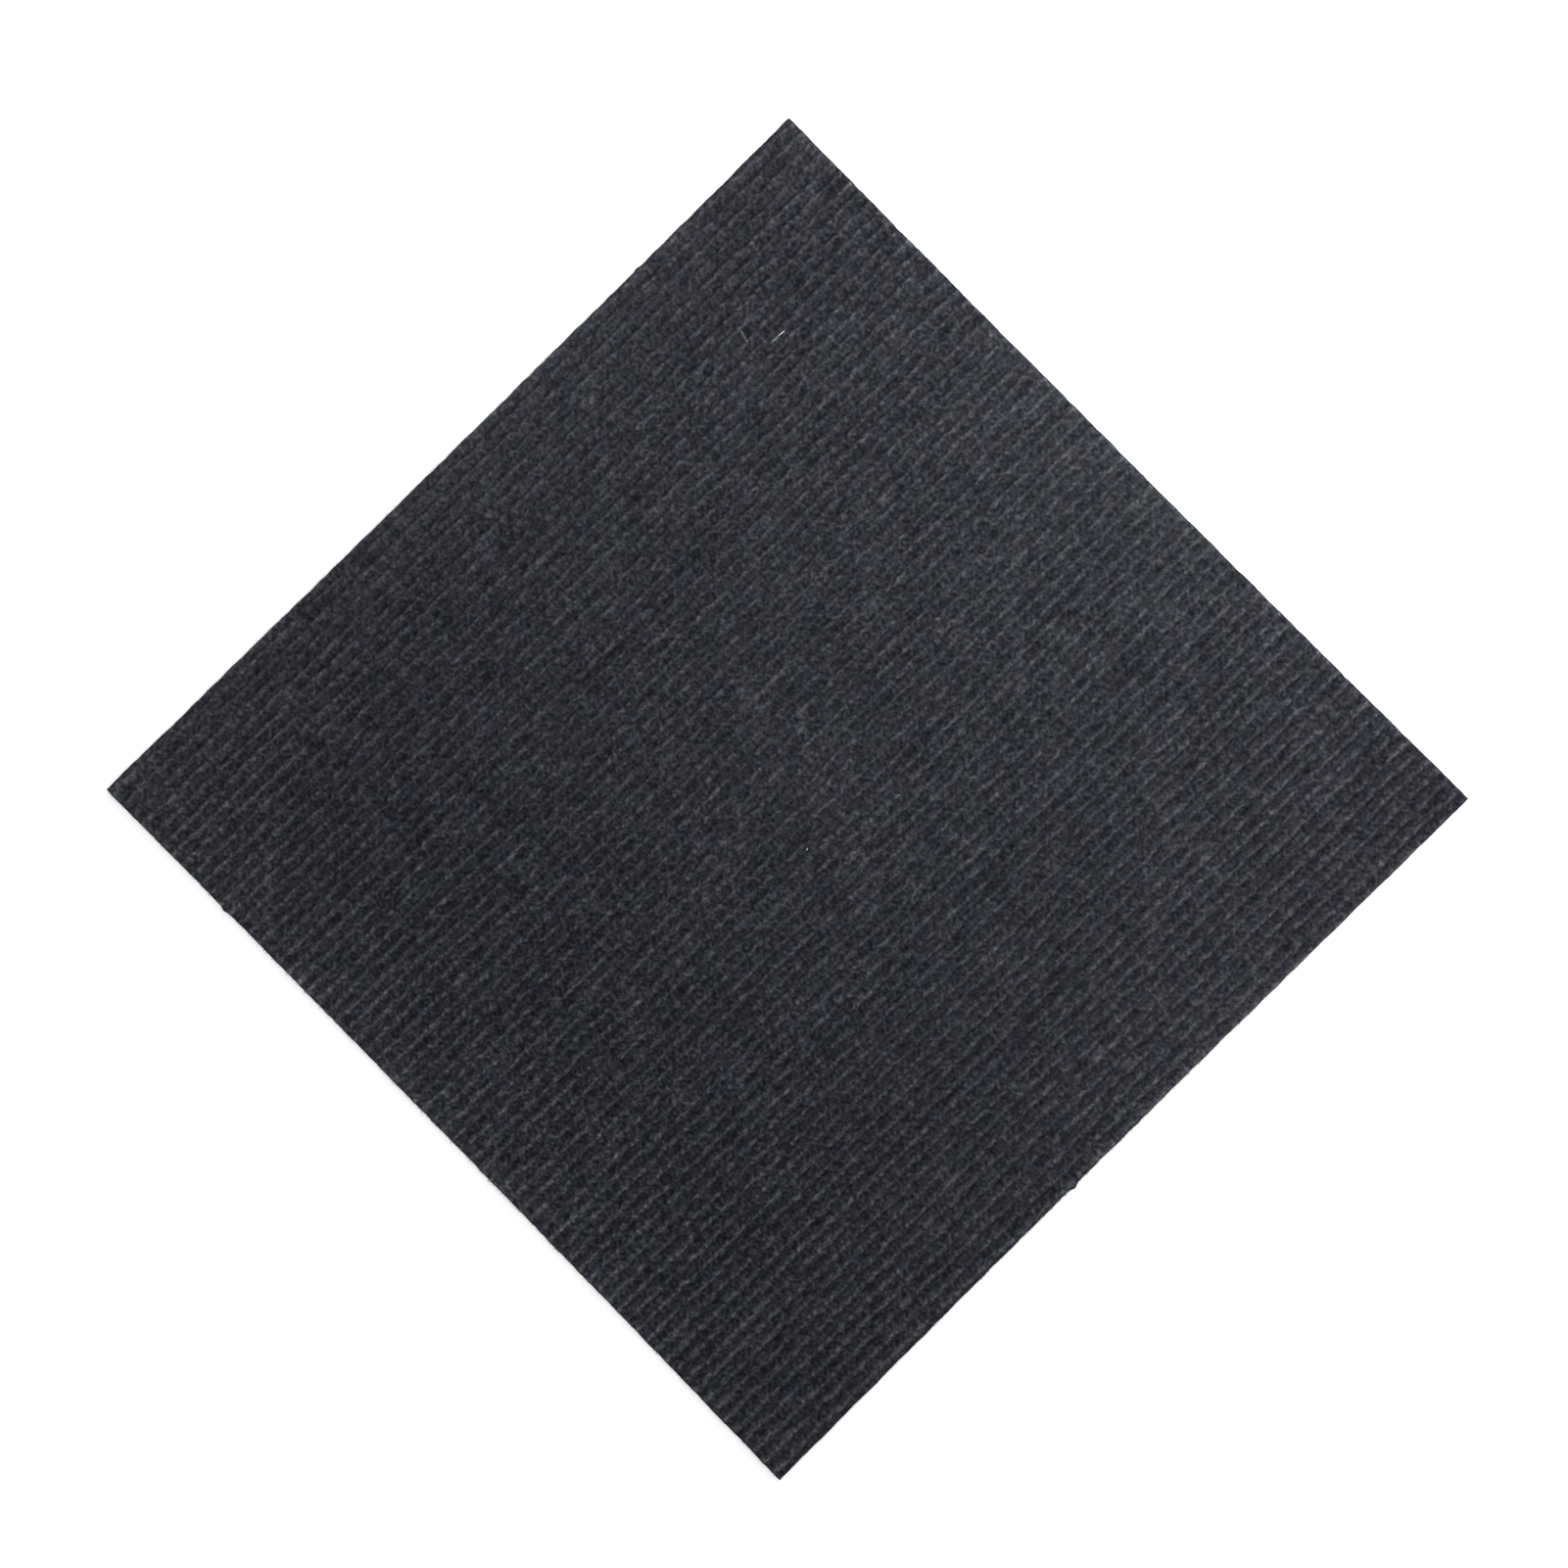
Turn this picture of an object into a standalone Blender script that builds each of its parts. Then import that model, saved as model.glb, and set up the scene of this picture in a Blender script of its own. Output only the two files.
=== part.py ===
"""A square carpet tile of ribbed needle-punched felt, lying face up.

Metres, +Z up. The origin is the middle of the underside. The ribs run along X, turned by a
small angle from the cut sides, because the tile is cut a little off the line of its ribs.
"""

import math

import bmesh
import bpy
from mathutils import Matrix

# The tile as it is cut
TILE_LENGTH = 0.500  # along X, with the ribs
TILE_WIDTH = 0.500  # along Y, across the ribs
BODY_THICKNESS = 0.0045  # from the underside to the floor of a groove

# The ribs that stand up from the body
RIB_PITCH = 0.007175
RIB_WIDTH = 0.0058  # foot to foot, and the rest of a pitch is the flat floor of a groove
RIB_HEIGHT = 0.0020
RIB_SKEW = math.radians(0.69)  # of the ribs from the cut sides, clockwise as seen from above
MIDDLE_CREST_Y = -0.0040  # a crest beside the tile's middle, which the others are counted from
RIB_FACETS = 8  # straight facets from foot to foot

# The stock is larger than the tile, so that every side of the tile is a cut face
TRIM = 0.010
CUTTER_CLEARANCE = 0.002  # the cutter reaches this far above and below the stock

FELT_COLOUR = (0.032, 0.034, 0.040, 1.0)
FELT_ROUGHNESS = 0.95


def clear_scene():
    for obj in list(bpy.data.objects):
        bpy.data.objects.remove(obj, do_unlink=True)


def felt_material():
    """Charcoal felt: dull, with no metal in it."""
    material = bpy.data.materials.new("charcoal_felt")
    material.use_nodes = True
    shader = material.node_tree.nodes["Principled BSDF"]
    shader.inputs["Base Color"].default_value = FELT_COLOUR
    shader.inputs["Roughness"].default_value = FELT_ROUGHNESS
    shader.inputs["Metallic"].default_value = 0.0
    return material


def rib_outline(crest_y):
    """The (y, z) points over one rib, from foot to foot: a raised cosine."""
    points = []
    for facet_end in range(RIB_FACETS + 1):
        offset = (facet_end / RIB_FACETS - 0.5) * RIB_WIDTH
        rise = RIB_HEIGHT * math.cos(math.pi * offset / RIB_WIDTH) ** 2
        points.append((crest_y + offset, BODY_THICKNESS + rise))
    return points


def stock_section(half_width):
    """The (y, z) outline of ribbed stock that is at least this wide on either side."""
    first = math.floor((-half_width - MIDDLE_CREST_Y) / RIB_PITCH)
    last = math.ceil((half_width - MIDDLE_CREST_Y) / RIB_PITCH)
    face = []
    for rib in range(first, last + 1):
        face += rib_outline(MIDDLE_CREST_Y + rib * RIB_PITCH)
    near_foot = face[0][0]
    far_foot = face[-1][0]
    return [(near_foot, 0.0), (far_foot, 0.0)] + face[::-1]


def mesh_object(name, bm):
    """An object of the collected faces, all facing out."""
    bmesh.ops.recalc_face_normals(bm, faces=bm.faces)
    mesh = bpy.data.meshes.new(name)
    bm.to_mesh(mesh)
    bm.free()
    obj = bpy.data.objects.new(name, mesh)
    bpy.context.scene.collection.objects.link(obj)
    return obj


def ribbed_stock(name, half_length, half_width):
    """Ribbed felt with its section drawn out along the ribs."""
    bm = bmesh.new()
    section = [bm.verts.new((-half_length, y, z)) for y, z in stock_section(half_width)]
    end_face = bm.faces.new(section)
    drawn_out = bmesh.ops.extrude_face_region(bm, geom=[end_face])["geom"]
    far_end = [item for item in drawn_out if isinstance(item, bmesh.types.BMVert)]
    bmesh.ops.translate(bm, verts=far_end, vec=(2 * half_length, 0.0, 0.0))
    return mesh_object(name, bm)


def square_cutter():
    """A block with the tile's sides, taller than the stock."""
    height = BODY_THICKNESS + RIB_HEIGHT + 2 * CUTTER_CLEARANCE
    bm = bmesh.new()
    bmesh.ops.create_cube(bm, size=1.0)
    bmesh.ops.scale(bm, verts=bm.verts, vec=(TILE_LENGTH, TILE_WIDTH, height))
    bmesh.ops.translate(bm, verts=bm.verts, vec=(0.0, 0.0, height / 2 - CUTTER_CLEARANCE))
    cutter = mesh_object("square_cutter", bm)
    cutter.hide_render = True
    cutter.display_type = "WIRE"
    return cutter


def carpet_tile():
    """The stock, turned by the skew and cut to the tile's square."""
    half_length = TILE_LENGTH / 2 + TILE_WIDTH / 2 * math.sin(RIB_SKEW) + TRIM
    half_width = TILE_WIDTH / 2 + TILE_LENGTH / 2 * math.sin(RIB_SKEW) + TRIM
    tile = ribbed_stock("carpet_tile", half_length, half_width)
    tile.data.materials.append(felt_material())
    tile.data.transform(Matrix.Rotation(-RIB_SKEW, 4, "Z"))
    cut = tile.modifiers.new("cut to the square", "BOOLEAN")
    cut.operation = "INTERSECT"
    cut.solver = "EXACT"
    cut.object = square_cutter()
    return tile


clear_scene()
carpet_tile()
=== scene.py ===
# %% [markdown]
# # A ribbed felt carpet tile
#
# The tile is one square of charcoal felt, cut from a wide roll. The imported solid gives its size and
# its straight ribs. This lesson dresses that solid: it makes the felt's soft relief, its cut sides,
# its loose fibres and its heathered colour, and then it lights the tile on a white floor. All lengths
# are in metres, and the tile lies with its ribbed face up.

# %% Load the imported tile
import math
from collections import namedtuple

import bpy
import numpy as np
from mathutils import Matrix, Vector


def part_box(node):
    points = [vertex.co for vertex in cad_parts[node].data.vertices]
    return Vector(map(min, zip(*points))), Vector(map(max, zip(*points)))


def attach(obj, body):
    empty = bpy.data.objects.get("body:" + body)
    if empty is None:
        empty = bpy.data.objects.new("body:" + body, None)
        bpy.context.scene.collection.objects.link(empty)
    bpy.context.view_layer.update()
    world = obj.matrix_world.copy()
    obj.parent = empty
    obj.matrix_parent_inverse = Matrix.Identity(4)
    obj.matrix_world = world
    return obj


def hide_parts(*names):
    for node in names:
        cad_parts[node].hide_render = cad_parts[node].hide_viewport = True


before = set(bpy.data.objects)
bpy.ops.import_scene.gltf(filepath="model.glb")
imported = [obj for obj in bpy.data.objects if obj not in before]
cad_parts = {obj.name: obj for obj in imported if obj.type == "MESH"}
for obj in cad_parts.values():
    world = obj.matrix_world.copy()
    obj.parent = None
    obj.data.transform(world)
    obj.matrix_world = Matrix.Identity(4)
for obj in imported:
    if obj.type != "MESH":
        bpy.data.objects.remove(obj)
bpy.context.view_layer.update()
_, tile_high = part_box("carpet_tile")
HALF_LENGTH = tile_high.x
HALF_WIDTH = tile_high.y
TILE_HEIGHT = tile_high.z
print("tile in mm:", [round(1000 * side, 2) for side in (2 * HALF_LENGTH, 2 * HALF_WIDTH, TILE_HEIGHT)])

# %% [markdown]
# ## The ribs that everything follows
#
# Needles push the felt's fibres up into ribs as it is made. The tile is cut a little off their line, so
# the ribs run at a small angle to its sides. These are the solid's own values, written once more here
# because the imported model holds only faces. One helper turns a place on the tile into a distance along
# the ribs and a distance across them.

# %% The ribs' sizes and direction
RIB_PITCH = 0.007175
RIB_WIDTH = 0.0058
RIB_HEIGHT = 0.0020
RIB_SKEW = math.radians(0.69)
MIDDLE_CREST = -0.0040
GROOVE_FLOOR = TILE_HEIGHT - RIB_HEIGHT


def along_and_across(x, y):
    """How far a place lies along the ribs, and how far across them."""
    along = x * math.cos(RIB_SKEW) - y * math.sin(RIB_SKEW)
    across = x * math.sin(RIB_SKEW) + y * math.cos(RIB_SKEW)
    return along, across


print("ribs across the tile:", round(2 * HALF_WIDTH / RIB_PITCH, 1))

# %% [markdown]
# ## Soft random patches
#
# Felt is uneven at every scale: fibres gather in clumps, ribs wander, edges fray. One helper makes all
# of this unevenness. It spreads random numbers over a coarse net of points and blends between them with
# a smooth curve, so neighbouring places get similar values. The result averages nought, and a fixed seed
# makes it the same in each run. Each kind of unevenness is a grain. It has its own spread, its patches'
# length and width, and a seed.

# %% A helper for smooth unevenness
NET_REACH = 0.30  # the nets cover this far each way from the tile's middle
BLEND_SPREAD = 0.479  # what the blending leaves of the random numbers' spread
CURVE_POINTS = 4  # net points that the curve blends in each direction

Grain = namedtuple("Grain", "spread length width seed")


def blend_weights(fraction):
    """The four weights of a cubic B-spline at this fraction of the way between two net points."""
    rest = 1 - fraction
    return (
        rest**3 / 6,
        (3 * fraction**3 - 6 * fraction**2 + 4) / 6,
        (3 * rest**3 - 6 * rest**2 + 4) / 6,
        fraction**3 / 6,
    )


def uneven(grain, first, second):
    """A grain's smooth random values at places given along its patches' length and their width."""
    columns = int(2 * NET_REACH / grain.length) + CURVE_POINTS
    rows = int(2 * NET_REACH / grain.width) + CURVE_POINTS
    net = np.random.default_rng(grain.seed).standard_normal((columns, rows))
    column = (first + NET_REACH) / grain.length
    row = (second + NET_REACH) / grain.width
    column_start = np.clip(np.floor(column).astype(int), 0, columns - CURVE_POINTS)
    row_start = np.clip(np.floor(row).astype(int), 0, rows - CURVE_POINTS)
    blended = np.zeros(np.shape(first))
    for i, weight_i in enumerate(blend_weights(column - column_start)):
        for j, weight_j in enumerate(blend_weights(row - row_start)):
            blended += weight_i * weight_j * net[column_start + i, row_start + j]
    return grain.spread * (blended / BLEND_SPREAD)


test_grain = Grain(spread=1.0, length=0.002, width=0.002, seed=2)
test_places = np.random.default_rng(1).uniform(-0.2, 0.2, (2, 4000))
print("spread of a grain of spread 1:", round(float(uneven(test_grain, *test_places).std()), 2))

# %% [markdown]
# ## Ribs that bend
#
# The felt was drawn a little while it was needled, so its ribs aren't ruled lines. Two long, gentle bends
# carry them aside. Each bend is a smooth hill of sideways shift, which is easier to read and to change
# than a curve for each rib. The ribs also lie a little further apart than the solid's. The rest value
# takes most of the bends' average out again, so no rib lies more than about two and a half millimetres
# from the solid's own.

# %% A helper for smooth hills, and the ribs' bends
def smooth_hills(hills, x, y):
    """Adds up hills, each with its middle's x and y, its reach in x and y, and its height."""
    total = 0.0
    for middle_x, middle_y, reach_x, reach_y, height in hills:
        distance = ((x - middle_x) / reach_x) ** 2 + ((y - middle_y) / reach_y) ** 2
        total = total + height * np.exp(-distance)
    return total


RIB_BENDS = (
    (0.032, -0.058, 0.223, 0.083, 0.00255),
    (-0.037, 0.159, 0.326, 0.096, 0.00159),
)
BEND_REST = -0.00146
RIB_SPREAD = 0.0051  # how much further apart the ribs lie, as a share


def rib_bend(x, y):
    """How far the ribs are bent towards -Y at a place."""
    return BEND_REST - RIB_SPREAD * y + smooth_hills(RIB_BENDS, x, y)


print("bend in the middle, in mm:", round(1000 * float(rib_bend(0.0, 0.0)), 2))

# %% [markdown]
# ## The felt's surface
#
# A real rib also wavers by part of a millimetre, it is fuller in some places than in others, and its
# fibres stand up in clumps. So the height of the felt at any place is a sum: the rib's rounded section,
# slid sideways by the bends and a waver, plus clumps of two sizes. A formula is used because every later
# piece, down to the single fibres, can then ask it how high the felt is.

# %% The height of the felt
SLOW_WAVER = Grain(spread=0.00018, length=0.035, width=0.030, seed=11)
SHORT_WAVER = Grain(spread=0.00022, length=0.0070, width=0.0072, seed=12)
CLUMPS = Grain(spread=0.00020, length=0.0034, width=0.0022, seed=21)
TUFTS = Grain(spread=0.00018, length=0.0017, width=0.0013, seed=22)
FULLNESS = Grain(spread=0.08, length=0.009, width=0.0072, seed=23)  # as a share of the rib's height
EDGE_FALL = 0.0004
RIB_END_FALL = 0.0009  # the knife rounds a rib's end down by this much more
EDGE_FALL_REACH = 0.0008


def rib_offset(x, y):
    """How far a place is from the middle of its rib."""
    along, across = along_and_across(x, y)
    waver = uneven(SLOW_WAVER, along, across) + uneven(SHORT_WAVER, along, across)
    ribs = (across - MIDDLE_CREST + rib_bend(x, y) + waver) / RIB_PITCH
    return (ribs - np.round(ribs)) * RIB_PITCH


def rib_shape(offset):
    """From 0 on the floor of a groove to 1 on the crest of a rib."""
    inside = np.abs(offset) < RIB_WIDTH / 2
    return np.where(inside, np.cos(math.pi * offset / RIB_WIDTH) ** 2, 0.0)


def edge_distance(x, y):
    """How far inside the tile's nearest side a place lies."""
    return np.minimum(HALF_LENGTH - np.abs(x), HALF_WIDTH - np.abs(y))


def felt_height(x, y):
    """The height of the felt, its crest value from 0 to 1, and how proud its fibres stand."""
    along, across = along_and_across(x, y)
    crest = rib_shape(rib_offset(x, y))
    fullness = 1 + uneven(FULLNESS, along, across)
    proud = uneven(CLUMPS, along, across) + uneven(TUFTS, along, across)
    at_the_cut = np.exp(-((np.maximum(edge_distance(x, y), 0) / EDGE_FALL_REACH) ** 2))
    fall = (EDGE_FALL + RIB_END_FALL * crest) * at_the_cut
    height = GROOVE_FLOOR + RIB_HEIGHT * crest * fullness + proud - fall
    return height, crest, proud


probe = np.linspace(-0.2, 0.2, 5000)
probed_heights, _, _ = felt_height(probe, probe)
print("low, middle and high felt in mm:", np.round(1000 * np.percentile(probed_heights, (1, 50, 99)), 2))

# %% [markdown]
# ## Pale crests and dark grooves: painted light and shade
#
# The crests are painted paler, as if they stood in the light, and the grooves darker, for the shade that
# falls in them; part of it is the pale fibres that wear and the needles raise on the crests. This painted
# light and shade is strongest at the start end and weakest beyond the middle. It fades in a few places
# near the sides, and it is clearer again in one place. Painted light and shade also drift over the whole
# felt, together with its own uneven tone: it is a little paler in places near its sides and at the middle
# of the far end, and darker in one corner and between the start end and the middle. The last few
# millimetres along the cut get a painted highlight. This could be painted with a picture, but a value at
# each point of the mesh is sharper and follows each rib's own bends. It counts in steps of doubling: a
# place with the value one is twice as pale as the base colour. A second value drifts between warmer and
# cooler, as a share of the red, and a third says how lively the heathering is: its light and dark clumps
# differ most towards the start end.

# %% How pale, painted-lit, warm and lively the felt is
# Painted light and shade over the whole felt, together with its own uneven tone
LIGHT_AND_TONE_DRIFTS = (
    (-0.210, 0.240, 0.090, 0.045, 0.30),
    (0.050, 0.250, 0.150, 0.035, 0.30),
    (-0.250, 0.080, 0.045, 0.190, 0.25),
    (-0.130, 0.010, 0.080, 0.170, -0.13),
    (0.045, -0.250, 0.080, 0.050, 0.30),
    (0.240, -0.230, 0.050, 0.060, -0.17),
    (0.250, 0.020, 0.040, 0.065, 0.28),
    (-0.250, -0.050, 0.018, 0.220, 0.20),
    (0.010, 0.240, 0.060, 0.060, 0.12),
)
WARM_DRIFTS = (
    (-0.150, 0.230, 0.090, 0.060, 0.045),
    (0.190, 0.250, 0.100, 0.050, 0.042),
    (0.200, -0.010, 0.070, 0.060, -0.028),
    (0.060, -0.090, 0.080, 0.060, -0.022),
    (0.200, -0.220, 0.070, 0.060, 0.022),
)
LIVELY_DRIFTS = (
    (-0.170, -0.060, 0.110, 0.170, 0.17),
    (0.250, -0.020, 0.050, 0.090, -0.15),
    (0.050, 0.250, 0.220, 0.040, -0.16),
    (0.080, -0.190, 0.120, 0.090, -0.08),
)
# Places where the painted crest light and groove shade fade, and one where they grow
RIB_FADES = (
    (0.000, 0.250, 0.110, 0.035, -0.40),
    (-0.250, 0.250, 0.030, 0.030, -0.60),
    (0.250, 0.250, 0.030, 0.030, -0.35),
    (0.040, -0.240, 0.150, 0.040, -0.16),
    (0.235, -0.030, 0.030, 0.030, -0.20),
    (0.155, 0.100, 0.035, 0.035, 0.25),
)
# How much paler the crests are painted, for light, and the grooves darker, for shade
CREST_PAINTED_LIGHT = 0.78
MEAN_CREST = 0.40
# Painted light on fibres that stand proud, and painted shade where they sink
PROUD_PAINTED_LIGHT = 0.15  # for fibres that stand proud by one spread of the clumps
# A painted highlight along the last few millimetres of the cut, which also offsets the shade there
RIM_PAINTED_HIGHLIGHT = 0.55
RIM_HIGHLIGHT_REACH = 0.0030
STRENGTH_AT_THE_ENDS = 0.40
STRENGTH_ALONG = -0.20
STRENGTH_ACROSS = -0.20


def painted_rib_light_strength(x, y):
    """How strong the ribs' painted crest light and groove shade are at a place, against the middle of the
    tile.
    """
    along = x / HALF_LENGTH
    across = y / HALF_WIDTH
    slope = STRENGTH_ALONG * along + STRENGTH_ACROSS * across
    return 1 + STRENGTH_AT_THE_ENDS * along**2 + slope + smooth_hills(RIB_FADES, x, y)


def felt_paleness_and_light(x, y, crest, proud):
    """How pale the fibres are, with painted light and shade, in steps of doubling."""
    # Painted light on the crests and painted shade in the grooves
    ribs = CREST_PAINTED_LIGHT * painted_rib_light_strength(x, y) * (crest - MEAN_CREST)
    # The painted highlight along the cut
    rim = RIM_PAINTED_HIGHLIGHT * np.exp(-np.maximum(edge_distance(x, y), 0) / RIM_HIGHLIGHT_REACH)
    return ribs + rim + PROUD_PAINTED_LIGHT * proud / CLUMPS.spread + smooth_hills(LIGHT_AND_TONE_DRIFTS, x, y)


print("rib strength at both ends:", [round(painted_rib_light_strength(x, 0.0), 2) for x in (-HALF_LENGTH, HALF_LENGTH)])

# %% [markdown]
# ## The cut sides
#
# A press knife cuts the tile from the roll. Felt springs back from the cut: each side ends up hollow by
# about a millimetre between its corners, single clumps bulge, and here and there a tuft escapes the
# knife. The next helper says how far a side stands out at a place along it. Three tufts stand where the
# tile has its largest ones.

# %% How far a side bulges
SIDE_HOLLOW = 0.0010
HOLLOW_REST = 0.4  # the share of the hollow that lies inside the straight side
SIDE_CLUMPS = {
    "start": Grain(spread=0.00010, length=0.0035, width=0.0020, seed=31),
    "end": Grain(spread=0.00010, length=0.0035, width=0.0020, seed=32),
    "right": Grain(spread=0.00010, length=0.0035, width=0.0020, seed=33),
    "left": Grain(spread=0.00010, length=0.0035, width=0.0020, seed=34),
}
RIB_END_SHRINK = 0.00015  # a rib's end springs back further than the felt between two ribs
RIB_END_DEPTH = 0.003
FRAYED_TUFTS = (
    # Its side, its place along that side, and how far it stands out
    ("right", -0.036, 0.0013),
    ("left", 0.138, 0.0007),
    ("start", 0.162, 0.0010),
)
TUFT_WIDTH = 0.0018
TUFT_DEPTH = 0.002


def side_bulge(side, place, depth, crest):
    """How far one of the four sides stands out, at a place along it and a depth below the face."""
    bulge = SIDE_HOLLOW * ((place / HALF_LENGTH) ** 2 - HOLLOW_REST)
    bulge += uneven(SIDE_CLUMPS[side], place, depth)
    bulge -= RIB_END_SHRINK * (crest - MEAN_CREST) * np.exp(-depth / RIB_END_DEPTH)
    for tuft_side, tuft_place, tuft_size in FRAYED_TUFTS:
        if tuft_side == side:
            nearness = np.exp(-(((place - tuft_place) / TUFT_WIDTH) ** 2) - depth / TUFT_DEPTH)
            bulge += tuft_size * nearness
    return bulge


print("frayed tufts:", len(FRAYED_TUFTS))

# %% [markdown]
# ## The felt as closed strips
#
# The relief needs a point about every millimetre, far too many for one mesh that anyone wants to open. So
# the felt is made as strips of about ten ribs. Each strip is a closed block from the face to the
# underside, and two neighbours meet in the bottom of a groove, where no seam can be seen. The face is a
# grid that leans with the ribs. Walls go down from its rim, and one flat face closes the underside. The
# map named OFBake lays the face, the walls and the underside side by side, so that its colours can be
# saved as a picture.

# %% The grid of one strip
RIBS_IN_A_STRIP = 10
STEPS_PER_RIB = 9
STEPS_ACROSS = RIBS_IN_A_STRIP * STEPS_PER_RIB
STEPS_ALONG = 460
BEND_ROUNDS = 5  # rounds of moving the line by the bend where it lies


def groove_line(groove, x):
    """Where a groove's middle line, numbered from the middle crest, crosses each x."""
    across = MIDDLE_CREST + (groove + 0.5) * RIB_PITCH
    straight = (across - x * math.sin(RIB_SKEW)) / math.cos(RIB_SKEW)
    line = straight
    for _ in range(BEND_ROUNDS):
        line = straight - rib_bend(x, line)
    return line


def strip_rim_lines(x, lower_groove, upper_groove):
    """The y of a strip's two long rims. A groove of None stands for the tile's own side."""
    lower = np.full_like(x, -HALF_WIDTH) if lower_groove is None else groove_line(lower_groove, x)
    upper = np.full_like(x, HALF_WIDTH) if upper_groove is None else groove_line(upper_groove, x)
    return lower, upper


def strip_face(lower_groove, upper_groove):
    """The x, y and z of a strip's face, with its crest and proud values."""
    x_line = np.linspace(-HALF_LENGTH, HALF_LENGTH, STEPS_ALONG + 1)
    lower, upper = strip_rim_lines(x_line, lower_groove, upper_groove)
    share = np.linspace(0, 1, STEPS_ACROSS + 1)
    x = np.repeat(x_line[:, None], STEPS_ACROSS + 1, axis=1)
    y = lower[:, None] + (upper - lower)[:, None] * share
    z, crest, proud = felt_height(x, y)
    return x, y, z, crest, proud


print("points on a strip's face:", (STEPS_ALONG + 1) * (STEPS_ACROSS + 1))

# %% Push the rims and walls out
WALL_DEPTHS = (0.12, 0.35, 0.65, 1.0)  # of the rings below the rim, as shares of the felt's height


def pushed_out(x, y, depth, crest):
    """The places of rim points after each of the tile's own sides has bulged."""
    new_x = x.copy()
    new_y = y.copy()
    at_start = np.isclose(x, -HALF_LENGTH)
    at_end = np.isclose(x, HALF_LENGTH)
    at_right = np.isclose(y, -HALF_WIDTH)
    at_left = np.isclose(y, HALF_WIDTH)
    new_x[at_start] -= side_bulge("start", y, depth, crest)[at_start]
    new_x[at_end] += side_bulge("end", y, depth, crest)[at_end]
    new_y[at_right] -= side_bulge("right", x, depth, crest)[at_right]
    new_y[at_left] += side_bulge("left", x, depth, crest)[at_left]
    return new_x, new_y


def rim_order(columns, rows):
    """The grid's rim points as an index list, counter-clockwise from above."""
    index = np.arange(columns * rows).reshape(columns, rows)
    return np.concatenate((index[:-1, 0], index[-1, :-1], index[:0:-1, -1], index[0, :0:-1]))


def strip_walls(face_points, rim, rim_x, rim_y, rim_z, rim_crest):
    """The points of a strip's walls, ring by ring, and the rim and all rings as index lists."""
    points = []
    rings = [rim]
    for share in WALL_DEPTHS:
        wall_x, wall_y = pushed_out(rim_x, rim_y, rim_z * share, rim_crest)
        points.append(np.stack((wall_x, wall_y, rim_z * (1 - share)), -1))
        rings.append(face_points + (len(rings) - 1) * len(rim) + np.arange(len(rim)))
    return np.concatenate(points), np.array(rings)


print("points round a strip's rim:", len(rim_order(STEPS_ALONG + 1, STEPS_ACROSS + 1)))

# %% Faces and map of a strip
FACE_SHARE = 0.44  # of the map's height, for each half of the face
UNDERSIDE_START = 0.89
UNDERSIDE_SHARE = 0.055
WALL_START = 0.955
WALL_SHARE = 0.04
MAP_MARGIN = 0.002


def grid_faces(columns, rows):
    """The four-sided faces of a grid."""
    index = np.arange(columns * rows).reshape(columns, rows)
    corners = (index[:-1, :-1], index[1:, :-1], index[1:, 1:], index[:-1, 1:])
    return np.stack(corners, axis=-1).reshape(-1, 4)


def wall_faces(rings):
    """Four-sided faces between each ring of wall points and the one below it."""
    upper = rings[:-1]
    lower = rings[1:]
    return np.stack((upper, lower, np.roll(lower, -1, 1), np.roll(upper, -1, 1)), -1).reshape(-1, 4)


def face_map(columns, rows):
    """Map places of the face's corners: the first half of the length below the second."""
    column, row = np.meshgrid(np.arange(columns - 1), np.arange(rows - 1), indexing="ij")
    half = (column >= (columns - 1) // 2).astype(float)
    places = []
    for step_u, step_v in ((0, 0), (1, 0), (1, 1), (0, 1)):
        u = (column + step_u) / (columns - 1) * 2 - half
        v = half * FACE_SHARE + (row + step_v) / (rows - 1) * (FACE_SHARE - 2 * MAP_MARGIN)
        places.append(np.stack((MAP_MARGIN + u * (1 - 2 * MAP_MARGIN), v + MAP_MARGIN), -1))
    return np.stack(places, axis=2).reshape(-1, 2)


def wall_map(ring_count, ring_length):
    """Map places of the walls' corners: round the rim from left to right, and ring by ring."""
    ring, step = np.meshgrid(np.arange(ring_count - 1), np.arange(ring_length), indexing="ij")
    places = []
    for down, on in ((0, 0), (1, 0), (1, 1), (0, 1)):
        u = (step + on) / ring_length
        v = WALL_START + WALL_SHARE * (ring + down) / (ring_count - 1)
        places.append(np.stack((MAP_MARGIN + u * (1 - 2 * MAP_MARGIN), v), -1))
    return np.stack(places, axis=2).reshape(-1, 2)


def underside_map(x, rim_y):
    """Map places of the underside's corners, in the order of the rim."""
    u = 0.5 + x / HALF_LENGTH * (0.5 - 2 * MAP_MARGIN)
    v = UNDERSIDE_START + UNDERSIDE_SHARE * ((rim_y - rim_y.min()) / np.ptp(rim_y))
    return np.stack((u, v), -1)


print("faces on a strip's top:", len(grid_faces(STEPS_ALONG + 1, STEPS_ACROSS + 1)))

# %% [markdown]
# ## Turning numbers into a mesh
#
# Blender can take a whole mesh as flat lists, which is far quicker than adding one face at a time. The
# helper below takes points and faces, keeps a few values per point for the materials, and hands back an
# object. Top and sides are shaded smooth, because fibres have no facets. The hidden walls between two
# strips and the underside stay flat, so that they don't bend the shading of the face.

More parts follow.
